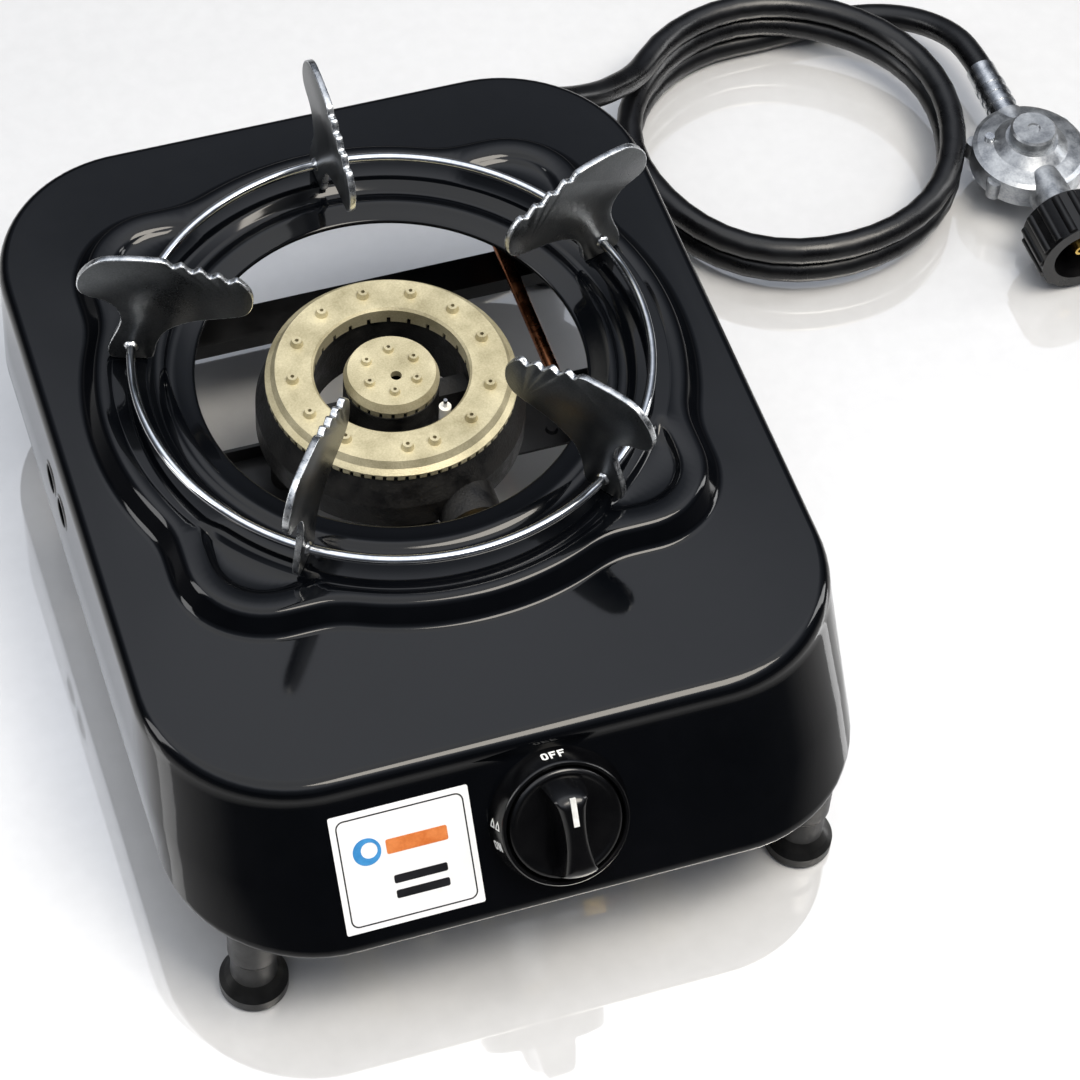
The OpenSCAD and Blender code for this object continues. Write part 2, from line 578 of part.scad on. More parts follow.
// Brass elbow through the back wall, its flared end to the side
module inlet_elbow() color([0.84, 0.68, 0.3]) at_burner() translate([inlet_x, 0, inlet_z]) difference() {
    union() {
        along_y(pipe_end_y - 6) hexagon(13, base_back - sheet_t - pipe_end_y + 6);
        along_y(pipe_end_y) cylinder(d = 13, h = elbow_y - pipe_end_y);
        translate([-7.5, elbow_y - 7.5, -7.5]) cube(15);
        translate([0, elbow_y, 0]) rotate([0, 90, 0]) cylinder(d = 14, h = 15 + nut_l - 4);
    }
    along_y(pipe_end_y) cylinder(d = 5, h = elbow_y - pipe_end_y + 2);
    translate([-1.5, elbow_y, 0]) rotate([0, 90, 0]) cylinder(d = 7, h = 40);
}
module inlet_nut() color([0.8, 0.64, 0.3]) at_burner() translate([inlet_x, 0, inlet_z])
    along_y(base_back) difference() {
    hexagon(19, 5);
    translate([0, 0, -1]) cylinder(d = 13, h = 8);
}

// Wire ring and five welded arms; each arm stands on a prong outside the ring
module pan_ring() color([0.88, 0.89, 0.9]) at_burner() translate([0, 0, wire_z]) rotate_extrude()
    translate([ring_r, 0]) circle(d = wire_d);
// Points round an arm drawn 40 high, as [radius, height above its seat]: leg, outer tip, top edge,
// inner tip, underside
drawn_h = 40;
arm_notches = 4;
function blade_points() = concat(
    [[ring_r - 7.5, 0.6], [ring_r, 0.3], [ring_r + 7, 0.5], [ring_r + 9.3, 2], [ring_r + 8.6, 6],
        [ring_r + 4.6, 13],
     [ring_r + 3.6, 17], [ring_r + 5.4, 21], [ring_r + 9.5, 23.6], [arm_out - 5, 25],
         [arm_out - 1.4, 26.6],
     [arm_out, 29.4], [arm_out - 1, 33], [arm_out - 4.5, drawn_h - 3.4], [arm_out - 10, drawn_h - 0.7],
     [arm_out - 18, drawn_h], [arm_out - 27, drawn_h - 0.1], [arm_out - 35, drawn_h - 0.8]],
    [for (k = [0:2 * arm_notches - 1]) let (t = k / (2 * arm_notches - 1))
        [arm_out - 38 - t * (arm_out - 38 - arm_in - 6), drawn_h - 1.6 - 6.4 * t - (k % 2 == 0 ? 1.3 : -0.5)]],
    [[arm_in + 2, drawn_h - 10.5], [arm_in, drawn_h - 14], [arm_in + 0.6, drawn_h - 18.5],
        [arm_in + 4, drawn_h - 21.4],
     [arm_in + 10, drawn_h - 22.4], [ring_r - 28, drawn_h - 23.6], [ring_r - 20, drawn_h - 25.5],
         [ring_r - 14, 11.5],
     [ring_r - 10.6, 7], [ring_r - 9.2, 2.6]]);
function blade_outline() = let (p = blade_points(), m = len(p)) [for (k = [0:m - 1], j = [0:1])
    let (a = p[(k + m - 1) % m], b = p[k], c = p[(k + 1) % m], d = p[(k + 2) % m], t = j / 2)
    0.5 * (2 * b + (c - a) * t + (2 * a - 5 * b + 4 * c - d) * t * t + (3 * b - 3 * c + d - a) * t * t * t)];
module pan_arm(k) color([0.3, 0.31, 0.32]) at_burner() rotate(18 + 72 * k) difference() {
    rotate([90, 0, 0]) translate([0, 0, -arm_t / 2]) linear_extrude(arm_t)
        translate([0, seat_z]) polygon([for (p = blade_outline()) [p.x, p.y * arm_h / drawn_h]]);
    translate([0, 0, wire_z]) rotate_extrude() translate([ring_r, 0]) circle(d = wire_d);
}
module pan_arm_1() pan_arm(0);
module pan_arm_2() pan_arm(1);
module pan_arm_3() pan_arm(2);
module pan_arm_4() pan_arm(3);
module pan_arm_5() pan_arm(4);

// Rubber foot: a tapering stem on a flared base, with a sunk screw
module foot(k) color([0.06, 0.06, 0.06]) at_burner() translate([foot_spots[k].x, foot_spots[k].y, 0])
    difference() {
    rotate_extrude() polygon([[0, 0], [foot_base_d / 2 - 1, 0], [foot_base_d / 2, 1.2],
        [foot_base_d / 2, 6],
        [foot_base_d / 2 - 2, 8.5], [foot_top_d / 2 - 0.8, 12], [foot_top_d / 2 - 1.2, 24],
            [foot_top_d / 2, 27], [foot_top_d / 2, hem_z],
        [0, hem_z]]);
    translate([0, 0, -1]) cylinder(d = foot_screw_d, h = hem_z + 2);
    translate([0, 0, -1]) cylinder(d = 11, h = 5);
}
module foot_front_left() foot(0);
module foot_front_right() foot(1);
module foot_back_left() foot(2);
module foot_back_right() foot(3);
module foot_screws() color([0.8, 0.8, 0.82]) at_burner() for (p = foot_spots) translate([p.x, p.y, 0]) {
    translate([0, 0, 4]) cylinder(d = foot_screw_d, h = hem_z + sheet_t);
    translate([0, 0, 1.2]) cylinder(d = 9.6, h = 2.8);
    translate([0, 0, hem_z + sheet_t]) difference() {
        hexagon(8, 4);
        translate([0, 0, -1]) cylinder(d = foot_screw_d, h = 6);
    }
}

module label() color([0.95, 0.95, 0.95]) at_burner() translate([label_x, knob_y, knob_z])
    rotate([90 - tilt, 0, 0])
    translate([-label_w / 2, -label_h / 2 - label_drop, 0]) cube([label_w, label_h, label_t]);

// Hose kit: everything from the flare nut on lies on the surface beside the stove
module flare_nut() color([0.8, 0.7, 0.4]) at_burner() translate([nut_start, elbow_y, inlet_z])
    rotate([0, 90, 0]) difference() {
    union() {
        hexagon(19, nut_l);
        cylinder(d = 17, h = nut_l + 2);
    }
    translate([0, 0, -1]) cylinder(d = 14, h = nut_l - 3);
    translate([0, 0, 4]) cylinder(d = 6, h = nut_l + 8);
}
module inlet_ferrule() color([0.8, 0.81, 0.82]) at_burner()
    translate([nut_start + nut_l + 2, elbow_y, inlet_z]) rotate([0, 90, 0])
    difference() {
        union() {
            cylinder(d = hose_d + 1.6, h = ferrule_1_l);
            for (z = [4, 10, 16, 22]) translate([0, 0, z]) cylinder(d = hose_d + 2.6, h = 2.4);
        }
        translate([0, 0, -1]) cylinder(d = 6, h = ferrule_1_l + 2);
    }
ferrule_1_l = lead_points[0].x - nut_start - nut_l - 2;
module hose_lead() color([0.06, 0.06, 0.065]) at_burner() sweep(spline(lead_points, 2), hose_d / 2, 10);
module hose_coil() color([0.06, 0.06, 0.065]) at_burner() translate([coil_at.x, coil_at.y, 0])
    rotate_extrude()
    translate([coil_r - hose_d / 2, 0]) square([hose_d, coil_h]);
module hose_tail() color([0.06, 0.06, 0.065]) at_burner() sweep(spline(tail_points, 3), hose_d / 2, 10);

module at_reg() at_burner() translate([reg_at.x, reg_at.y, reg_z]) children();
reg_back = reg_d / 2 - 1;
ferrule_2_l = tail_points[len(tail_points) - 1].y - reg_at.y - reg_back;
module regulator_ferrule() color([0.8, 0.81, 0.82]) at_reg() along_y(reg_back) difference() {
    union() {
        cylinder(d = hose_d + 1.6, h = ferrule_2_l);
        for (z = [6, 12, 18]) translate([0, 0, z]) cylinder(d = hose_d + 2.6, h = 2.4);
    }
    translate([0, 0, -1]) cylinder(d = 6, h = ferrule_2_l + 2);
}
module regulator_body() color([0.7, 0.71, 0.7]) at_reg() difference() {
    union() {
        translate([0, 0, -6]) cylinder(d = reg_d, h = 9);
        translate([0, 0, -14]) cylinder(d1 = 26, d2 = 42, h = 8);
        along_y(-reg_d / 2 - 12) cylinder(d = 19, h = 24);
        along_y(8) cylinder(d = 16, h = reg_back - 8);
        for (a = [0:60:300]) rotate(a + 30) translate([reg_d / 2 - 1, 0, -6]) cylinder(d = 7, h = 9);
    }
    along_y(-reg_d / 2 - 14) cylinder(d = 8, h = 30);
    along_y(10) cylinder(d = 6, h = reg_d / 2);
}
module regulator_cover() color([0.72, 0.73, 0.72]) at_reg() difference() {
    translate([0, 0, 3]) rotate_extrude()
        polygon([[0, 0], [reg_d / 2, 0], [reg_d / 2, 2.4], [reg_d / 2 - 2, 3.4], [reg_d / 2 - 9, 5],
            [12, 9], [0, 9]]);
    along_y(-reg_d / 2 - 12) cylinder(d = 19, h = 24);
    along_y(8) cylinder(d = 16, h = reg_back);
    translate(vent_at) cylinder(d = 4.4, h = 10);
}
module regulator_cap() color([0.76, 0.77, 0.77]) at_reg() translate([0, 0, 12]) rotate_extrude()
    polygon([[0, 0], [10.5, 0], [10.5, 5.6], [9.6, 6.6], [3, 6.6], [2.4, 5.8], [0, 5.8]]);
vent_at = [-17, 8, 7.2];
module vent_screw() color([0.6, 0.6, 0.6]) at_reg() translate(vent_at) cylinder(d = 4.4, h = 3);
// The nipple is fixed in the body; the hand wheel turns on its shoulder
wheel_front = -reg_d / 2 - 12;
module tank_nipple() color([0.83, 0.67, 0.3]) at_reg() along_y(wheel_front - 22) difference() {
    union() {
        translate([0, 0, 14]) cylinder(d = 12, h = 8);
        translate([0, 0, 4]) cylinder(d = 8, h = 10);
        cylinder(d1 = 5, d2 = 8, h = 4);
    }
    translate([0, 0, -1]) cylinder(d = 2.5, h = 24);
}
module hand_wheel() color([0.05, 0.05, 0.055]) at_reg() along_y(wheel_front - wheel_l + 1.7)
    difference() {
    union() {
        cylinder(d = wheel_d - 3, h = wheel_l - 4);
        for (i = [0:15]) rotate(i * 22.5) translate([wheel_d / 2 - 2.2, 0, 1])
            cylinder(d = 4.2, h = wheel_l - 6);
        translate([0, 0, wheel_l - 4]) cylinder(d1 = wheel_d - 3, d2 = wheel_d - 8, h = 2);
    }
    translate([0, 0, -1]) cylinder(d = wheel_d - 14, h = wheel_l - 5);
    translate([0, 0, -1]) cylinder(d = 12 + 2 * run_clear, h = wheel_l + 2);
}

housing();
burner_bar();
rear_strip();
valve_bracket();
bracket_screws();
burner_body();
burner_screws();
mixing_tube_outer();
mixing_tube_inner();
air_shutter_outer();
air_shutter_inner();
injectors();
outer_burner_cap();
inner_burner_cap();
electrode_ceramic();
electrode_wire();
electrode_bracket();
igniter();
igniter_cable();
valve_body();
valve_gland();
valve_plug();
valve_stem();
stem_spring();
bezel();
knob();
knob_line();
gas_pipe();
pipe_nuts();
inlet_elbow();
inlet_nut();
pan_ring();
pan_arm_1();
pan_arm_2();
pan_arm_3();
pan_arm_4();
pan_arm_5();
foot_front_left();
foot_front_right();
foot_back_left();
foot_back_right();
foot_screws();
label();
flare_nut();
inlet_ferrule();
hose_lead();
hose_coil();
hose_tail();
regulator_ferrule();
regulator_body();
regulator_cover();
regulator_cap();
vent_screw();
tank_nipple();
hand_wheel();
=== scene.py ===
# Camping stove: the looks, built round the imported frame
import json
import math
import bpy
import bmesh
from mathutils import Matrix, Vector


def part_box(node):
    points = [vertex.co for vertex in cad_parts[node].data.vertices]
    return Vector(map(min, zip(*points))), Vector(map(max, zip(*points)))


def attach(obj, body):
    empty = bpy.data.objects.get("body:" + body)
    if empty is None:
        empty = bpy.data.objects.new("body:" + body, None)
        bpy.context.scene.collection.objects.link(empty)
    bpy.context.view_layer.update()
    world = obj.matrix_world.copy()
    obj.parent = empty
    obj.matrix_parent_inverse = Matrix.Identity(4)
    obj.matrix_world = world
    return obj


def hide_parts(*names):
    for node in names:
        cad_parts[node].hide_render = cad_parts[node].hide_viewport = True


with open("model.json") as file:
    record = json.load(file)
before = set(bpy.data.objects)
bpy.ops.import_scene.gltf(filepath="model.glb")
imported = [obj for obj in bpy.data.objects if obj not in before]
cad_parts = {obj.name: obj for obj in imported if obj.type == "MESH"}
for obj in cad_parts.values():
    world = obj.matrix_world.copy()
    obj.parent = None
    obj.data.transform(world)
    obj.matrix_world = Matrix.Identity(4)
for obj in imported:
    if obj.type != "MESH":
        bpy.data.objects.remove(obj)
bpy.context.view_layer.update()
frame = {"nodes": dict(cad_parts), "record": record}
mm = 0.001


def middle(node):
    low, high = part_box(node)
    return [(a + b) / 2 for a, b in zip(low, high)]


burnerX, burnerY = middle("outer_burner_cap")[:2]  # the burner's axis
print("frame loaded, burner axis at y", round(burnerY, 4))

view = {
    "turn": -19.7,  # degrees to the left of the front
    "height": 51.9,  # degrees above the table
    "distance": 1507,  # mm
    "aim": (24.5, -4.3, 60),  # mm from the burner's axis
    "roll": 2.7,
    "lens": 121.5,
    "shift": (0.084, -0.091),
}


def makeCamera():
    turn, up, roll = (math.radians(view[k]) for k in ("turn", "height", "roll"))
    back = Vector((math.sin(turn) * math.cos(up), -math.cos(turn) * math.cos(up), math.sin(up)))
    right = (-back).cross(Vector((0, 0, 1))).normalized()
    top = right.cross(-back)
    rolledRight = right * math.cos(roll) + top * math.sin(roll)
    rolledTop = top * math.cos(roll) - right * math.sin(roll)
    aim = Vector(view["aim"]) * mm + Vector((burnerX, burnerY, 0))
    camera = bpy.data.objects.new("camera", bpy.data.cameras.new("camera"))
    bpy.context.collection.objects.link(camera)
    turned = Matrix((rolledRight, rolledTop, back)).transposed().to_4x4()
    camera.matrix_world = Matrix.Translation(aim + back * view["distance"] * mm) @ turned
    camera.data.lens = view["lens"]
    camera.data.shift_x, camera.data.shift_y = view["shift"]
    camera.data.clip_end = 20
    bpy.context.scene.camera = camera


makeCamera()
print("camera placed")


def linear(code):  # sRGB hex to linear
    parts = [int(code[i:i + 2], 16) / 255 for i in (1, 3, 5)]
    return [c / 12.92 if c <= 0.04045 else ((c + 0.055) / 1.055) ** 2.4 for c in parts] + [1]


def addNode(tree, kind, settings=(), links=()):
    made = tree.nodes.new(kind)
    for key, value in dict(settings).items():
        if hasattr(made, str(key)) and not isinstance(key, int):
            setattr(made, key, value)
        else:
            made.inputs[key].default_value = value
    for key, (source, output) in dict(links).items():
        tree.links.new(source.outputs[output], made.inputs[key])
    return made


noiseRange = (0.5, 0.95)  # where the two noises together mostly lie


def makeFinish(name, dark, light, metal, rough, grain, relief, blotch=18, coat=0, ior=None, soft=False):
    # dark and light: the hex colours it drifts between; rough: lowest and highest
    # grain, relief and blotch in mm; soft: fewer fine octaves
    mat = bpy.data.materials.new(name)
    mat.use_nodes = True
    tree = mat.node_tree
    shader = tree.nodes["Principled BSDF"]
    place = addNode(tree, "ShaderNodeTexCoord")
    drift = addNode(tree, "ShaderNodeTexNoise", {"Scale": 1 / (blotch * mm), "Detail": 3.0},
                    {"Vector": (place, "Object")})
    fine = addNode(tree, "ShaderNodeTexNoise", {"Scale": 1 / (grain * mm), "Detail": 2.0 if soft else 5.0},
                   {"Vector": (place, "Object")})
    both = addNode(tree, "ShaderNodeMath", {"operation": "MULTIPLY_ADD", 1: 0.45},
                   {0: (fine, "Fac"), 2: (drift, "Fac")})
    colour = addNode(tree, "ShaderNodeValToRGB", {}, {"Fac": (both, "Value")})
    for end, spot, code in zip(colour.color_ramp.elements, noiseRange, (dark, light)):
        end.position, end.color = spot, linear(code)
    tree.links.new(colour.outputs["Color"], shader.inputs["Base Color"])
    span = {"From Min": noiseRange[0], "From Max": noiseRange[1], "To Min": rough[0], "To Max": rough[1]}
    level = addNode(tree, "ShaderNodeMapRange", span, {"Value": (both, "Value")})
    tree.links.new(level.outputs["Result"], shader.inputs["Roughness"])
    bump = addNode(tree, "ShaderNodeBump", {"Strength": 1.0, "Distance": relief * mm},
                   {"Height": (fine, "Fac")})
    tree.links.new(bump.outputs["Normal"], shader.inputs["Normal"])
    shader.inputs["Metallic"].default_value = metal
    if coat:
        shader.inputs["Coat Weight"].default_value = coat
        shader.inputs["Coat Roughness"].default_value = 0.04
    if ior:
        shader.inputs["IOR"].default_value = ior
    return mat


finishValues = {
    # gloss black enamel, fired on pressed steel: deep near-black with a mirror skin and faint orange peel
    "glossEnamel": dict(dark="#030406", light="#06070a", metal=0, rough=(0.05, 0.1), grain=9,
                        relief=0.006, blotch=60, ior=1.38, soft=True),
    # satin black paint on folded strip: dull, faint speckle
    "satinBlackSteel": dict(dark="#0c0c0d", light="#17181a", metal=0, rough=(0.32, 0.5), grain=0.8,
                            relief=0.02, blotch=14, ior=1.5),
    # yellow passivated zinc: warm gold that drifts from pale to deep
    "yellowZinc": dict(dark="#b09a55", light="#d9c889", metal=1, rough=(0.22, 0.38), grain=1.2,
                       relief=0.012, blotch=5),
    # bright zinc plate on turned screws: cold silver
    "brightZinc": dict(dark="#b4b6ba", light="#dcdee0", metal=1, rough=(0.16, 0.3), grain=0.7,
                       relief=0.01, blotch=4),
    # black painted sand casting: coarse grain that sparkles a little
    "sandCastIron": dict(dark="#08080a", light="#1d1c1a", metal=0.1, rough=(0.38, 0.7), grain=1.1,
                         relief=0.22, blotch=7, ior=1.5),
    # drawn brass tube, dulled by heat: brown gold
    "drawnBrass": dict(dark="#8f7440", light="#c2a35c", metal=1, rough=(0.25, 0.42), grain=2.5,
                       relief=0.01, blotch=12),
    # turned brass: bright yellow with a fine grain
    "turnedBrass": dict(dark="#a9853c", light="#dcbb6b", metal=1, rough=(0.14, 0.26), grain=0.6,
                        relief=0.01, blotch=5),
    # sandblasted brass burner caps: pale matt tan with darker heat blotches
    "blastedBrass": dict(dark="#a79d7c", light="#d8cfae", metal=0.6, rough=(0.42, 0.58), grain=0.7,
                         relief=0.07, blotch=16),
    # glazed porcelain insulator: cream with a wet gloss
    "glazedPorcelain": dict(dark="#d9d4c8", light="#f2efe8", metal=0, rough=(0.12, 0.22), grain=3,
                            relief=0.01, blotch=6, coat=0.4, ior=1.5),
    # bare drawn steel: plain grey, half bright
    "bareSteel": dict(dark="#8d8f92", light="#b9bbbd", metal=1, rough=(0.22, 0.4), grain=0.5, relief=0.01,
                      blotch=5),
    # moulded ivory plastic: warm white, soft sheen
    "ivoryPlastic": dict(dark="#d8d4c6", light="#ece9df", metal=0, rough=(0.35, 0.5), grain=0.6,
                         relief=0.01, blotch=8, ior=1.46),
    # red silicone lead: deep red and dull
    "redSilicone": dict(dark="#8a1710", light="#b32a1e", metal=0, rough=(0.4, 0.55), grain=1, relief=0.01,
                        blotch=6, ior=1.41),
    # zinc alloy die casting: cool grey with a cloudy, slightly pitted skin
    "dieCastZinc": dict(dark="#83868a", light="#b9bcbf", metal=0.9, rough=(0.3, 0.46), grain=1.0,
                        relief=0.035, blotch=6),
    # hard drawn spring wire: mid grey, half bright
    "springSteel": dict(dark="#77797d", light="#a5a7aa", metal=1, rough=(0.25, 0.4), grain=0.5,
                        relief=0.01, blotch=4),
    # gloss black moulded ABS: soft sheen that drifts slightly
    "mouldedAbs": dict(dark="#030304", light="#070708", metal=0, rough=(0.14, 0.24), grain=6,
                       relief=0.008, blotch=20, ior=1.46, soft=True),
    # white pad printing: flat and even
    "whitePrint": dict(dark="#dcdcd8", light="#f4f4f1", metal=0, rough=(0.38, 0.5), grain=0.5,
                       relief=0.004, blotch=3),
    # copper tube, a little browned
    "drawnCopper": dict(dark="#8e5332", light="#c9855c", metal=1, rough=(0.2, 0.36), grain=2, relief=0.01,
                        blotch=9),
    # chrome plated wire: a mirror with a faint ripple
    "chromeWire": dict(dark="#bfc2c6", light="#e3e5e7", metal=1, rough=(0.05, 0.12), grain=1.5,
                       relief=0.006, blotch=12),
    # dark plated sheet with a fine pebbled skin: black where it faces the dark, silver where it faces up
    "hammeredSteel": dict(dark="#3a3c3e", light="#66696b", metal=0.85, rough=(0.26, 0.4), grain=0.7,
                          relief=0.09, blotch=30),
    # ground bright edge of the arms: silver with nicks
    "groundEdge": dict(dark="#a3a7aa", light="#e6e8ea", metal=1, rough=(0.2, 0.38), grain=0.8,
                       relief=0.05, blotch=3),
    # moulded black rubber: dull with a faint grain
    "mouldedRubber": dict(dark="#050505", light="#0b0b0b", metal=0, rough=(0.34, 0.5), grain=0.6,
                          relief=0.015, blotch=6, ior=1.4),
    # white vinyl film with a light gloss
    "vinylFilm": dict(dark="#f4f5f5", light="#fbfbfb", metal=0, rough=(0.24, 0.32), grain=4, relief=0.002,
                      blotch=30, ior=1.5, soft=True),
    # printed inks on the film: flat colour, a little duller than it
    "blackInk": dict(dark="#101013", light="#1b1b1f", metal=0, rough=(0.3, 0.4), grain=1, relief=0.002,
                     blotch=6),
    "orangeInk": dict(dark="#cf6f33", light="#e58a4c", metal=0, rough=(0.3, 0.4), grain=1, relief=0.002,
                      blotch=6),
    "blueInk": dict(dark="#2f7fc0", light="#4a9ad6", metal=0, rough=(0.3, 0.4), grain=1, relief=0.002,
                    blotch=6),
    # crimped steel ferrule, nickel bright
    "crimpedSteel": dict(dark="#a5a8ab", light="#dadcde", metal=1, rough=(0.14, 0.28), grain=0.8,
                         relief=0.015, blotch=4),
    # extruded black hose rubber: satin with a faint drift
    "hoseRubber": dict(dark="#050506", light="#0c0d10", metal=0, rough=(0.24, 0.36), grain=1.4,
                       relief=0.03, blotch=16, ior=1.45),
    # black plastic of the hand wheel: satin with a fine grain
    "ribbedPlastic": dict(dark="#050506", light="#0c0c0e", metal=0, rough=(0.26, 0.4), grain=0.9,
                          relief=0.02, blotch=8, ior=1.45),
    # white lacquered table top: pale, with a mirror-like skin
    "whiteLacquer": dict(dark="#cfcfcf", light="#d8d8d8", metal=0, rough=(0.03, 0.05), grain=8,
                         relief=0.0005, blotch=300, coat=1, ior=1.6, soft=True),
}
finishes = {name: makeFinish(name, **values) for name, values in finishValues.items()}
lacquer = finishes["whiteLacquer"].node_tree.nodes["Principled BSDF"]
lacquer.inputs["Coat IOR"].default_value = 2.3
slotFinish = {
    "enamel": "glossEnamel", "black_steel": "satinBlackSteel", "zinc_yellow": "yellowZinc",
    "screw_steel": "brightZinc", "cast_iron": "sandCastIron", "tube_brass": "drawnBrass",
    "brass": "turnedBrass", "cap_brass": "blastedBrass", "porcelain": "glazedPorcelain",
    "bare_steel": "bareSteel", "white_plastic": "ivoryPlastic", "red_silicone": "redSilicone",
    "die_cast": "dieCastZinc", "spring_steel": "springSteel", "knob_plastic": "mouldedAbs",
    "white_mark": "whitePrint", "copper": "drawnCopper", "chrome_wire": "chromeWire",
    "arm_steel": "hammeredSteel", "foot_rubber": "mouldedRubber", "label_film": "vinylFilm",
    "ferrule_steel": "crimpedSteel", "hose_rubber": "hoseRubber", "wheel_plastic": "ribbedPlastic",
}
nodeSlot = {part["node"]: part["material_slot"] for part in frame["record"]["subparts"]}
for nodeName, thing in frame["nodes"].items():
    thing.data.materials.clear()
    thing.data.materials.append(finishes[slotFinish[nodeSlot[nodeName]]])
print("materials made:", len(finishes))


def addPiece(name, points, faces, finishNames, body, smooth=40, faceFinish=None, scale=mm):
    mesh = bpy.data.meshes.new(name)
    mesh.from_pydata([[c * scale for c in p] for p in points], [], faces)
    for finishName in finishNames:
        mesh.materials.append(finishes[finishName])
    for polygon in mesh.polygons:
        polygon.use_smooth = True
        if faceFinish:
            polygon.material_index = faceFinish[polygon.index]
    work = bmesh.new()
    work.from_mesh(mesh)
    bmesh.ops.recalc_face_normals(work, faces=work.faces)
    work.to_mesh(mesh)
    work.free()
    mesh.set_sharp_from_angle(angle=math.radians(smooth))
    piece = bpy.data.objects.new(name, mesh)
    bpy.context.collection.objects.link(piece)
    if body:
        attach(piece, body)
    return piece


def applyModifier(piece, kind, **settings):
    modifier = piece.modifiers.new(kind, kind)
    for key, value in settings.items():
        setattr(modifier, key, value)
    graph = bpy.context.evaluated_depsgraph_get()
    mesh = bpy.data.meshes.new_from_object(piece.evaluated_get(graph))
    piece.modifiers.clear()
    piece.data = mesh


def lathe(profile, steps=96, at=None, closed=True):  # profile as (radius, height)
    points = []
    for r, z in profile:
        for i in range(steps):
            a = 2 * math.pi * i / steps
            points.append(Vector((r * math.cos(a), r * math.sin(a), z)))
    count = len(profile)
    faces = []
    for j in range(count if closed else count - 1):
        k = (j + 1) % count
        for i in range(steps):
            n = (i + 1) % steps
            faces.append([j * steps + i, j * steps + n, k * steps + n, k * steps + i])
    return [at @ p for p in points] if at else points, faces


def curved(path, steps, closed=False):  # smooth curve through points
    count = len(path)
    made = []
    for k in range(count if closed else count - 1):
        a, b, c, d = (Vector(path[i % count]) if closed else Vector(path[min(max(i, 0), count - 1)])
                      for i in (k - 1, k, k + 1, k + 2))
        for j in range(steps):
            t = j / steps
            made.append(0.5 * (2 * b + (c - a) * t + (2 * a - 5 * b + 4 * c - d) * t * t
                               + (3 * b - 3 * c + d - a) * t ** 3))
    if not closed:
        made.append(Vector(path[-1]))
    return made


# Hose: lead, coil and tail as one length of rubber
hose = {
    "diameter": 12,  # mm
    "coilAt": (240, 152),
    "coilRadius": 74,
    "turns": 2.125,
    "lead": [(78, 169, 66), (90, 169, 66), (102.5, 169, 64), (112, 169.5, 61.5), (121.5, 170.5, 58),
             (130.5, 172.5, 54), (139.5, 175, 49.5), (148.5, 178, 45.5), (157, 182, 41.5), (165.5, 187, 38),
             (173.5, 192, 35), (181, 198, 32.5), (187.7, 204.3, 31.5)],
    "tail": [(240, 226, 6), (254, 226, 6), (268, 226, 6.5), (283, 226, 7.5), (297.5, 224, 9.5),
             (311, 218.5, 12.5), (322.5, 209.5, 16), (331.5, 198, 19), (337, 184.5, 21.5), (339, 170, 22),
             (339, 164, 22)],
}


def makeHose():
    cx, cy = hose["coilAt"]
    startHeight, endHeight = hose["lead"][-1][2], hose["tail"][0][2]
    steps = round(hose["turns"] * 40)
    coil = []
    for i in range(1, steps):
        share = i / steps
        a = math.radians(135 - 360 * hose["turns"] * share)
        wave = 0.7 * math.sin(5 * a) * math.sin(math.pi * share)  # a hose never lies quite round
        r = hose["coilRadius"] + wave
        coil.append(Vector((cx + r * math.cos(a), cy + r * math.sin(a),
                            startHeight + (endHeight - startHeight) * share)))
    route = curved(hose["lead"], 3) + coil + curved(hose["tail"], 3)
    route = [(p + Vector((0, burnerY / mm, 0))) * mm for p in route]
    line = bpy.data.curves.new("hose", "CURVE")
    line.dimensions = "3D"
    line.bevel_depth = hose["diameter"] * mm / 2
    line.bevel_resolution = 7
    line.use_fill_caps = True
    spline = line.splines.new("POLY")
    spline.points.add(len(route) - 1)
    for point, place in zip(spline.points, route):
        point.co = (*place, 1)
    spline.use_smooth = True
    line.materials.append(finishes["hoseRubber"])
    piece = bpy.data.objects.new("hose", line)
    bpy.context.collection.objects.link(piece)
    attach(piece, "stove")
    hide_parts("hose_lead", "hose_coil", "hose_tail")


makeHose()

# Housing: one pressed shell with a lobed rise round the burner
shell = {
    "sheet": 1, "roll": 5, "corner": 61, "lean": 38, "shoulder": 7, "flange": 13, "inset": 4.5,
    "round": 125, "square": 112, "squareCorner": 38, "pocket": 2.6, "ring": 104, "opening": 79,
    "around": 240,  # points round each ring
    "ventDiameter": 12, "ventPitch": 18,
    "knobHeight": 31,  # above the hem
}
low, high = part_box("housing")
hemZ, seatZ = low[2] / mm, high[2] / mm
knobZ = hemZ + shell["knobHeight"]
halfW = high[0] / mm
topZ = seatZ - 9
shoulderZ = topZ - shell["shoulder"]
frontSlope = shell["lean"] / (shoulderZ - hemZ)
frontD, backD = (burnerY - low[1]) / mm + 1.5 * frontSlope, (high[1] - burnerY) / mm
frontLean = math.atan(frontSlope)


def smooth(v):
    v = min(max(v, 0), 1)
    return v * v * (3 - 2 * v)


def ray(a, half, front, back, r):  # from the burner's axis to a rounded rectangle's edge
    c, s = math.cos(a), math.sin(a)
    reach = back if s > 0 else front
    t = min(half / max(abs(c), 1e-6), reach / max(abs(s), 1e-6))
    x, y = t * abs(c), t * abs(s)
    if x > half - r and y > reach - r:
        b = (half - r) * abs(c) + (reach - r) * abs(s)
        return b + math.sqrt(max(b * b - (half - r) ** 2 - (reach - r) ** 2 + r * r, 0))
    return t


def lobe(a, d):  # the pressing's outline, moved inward by d
    square = ray(a, *[shell["square"] - d] * 3, shell["squareCorner"] - d)
    circle, blend = shell["round"] - d, 4
    h = min(max(0.5 + (circle - square) / (2 * blend), 0), 1)
    return square + (circle - square) * h + blend * h * (1 - h)


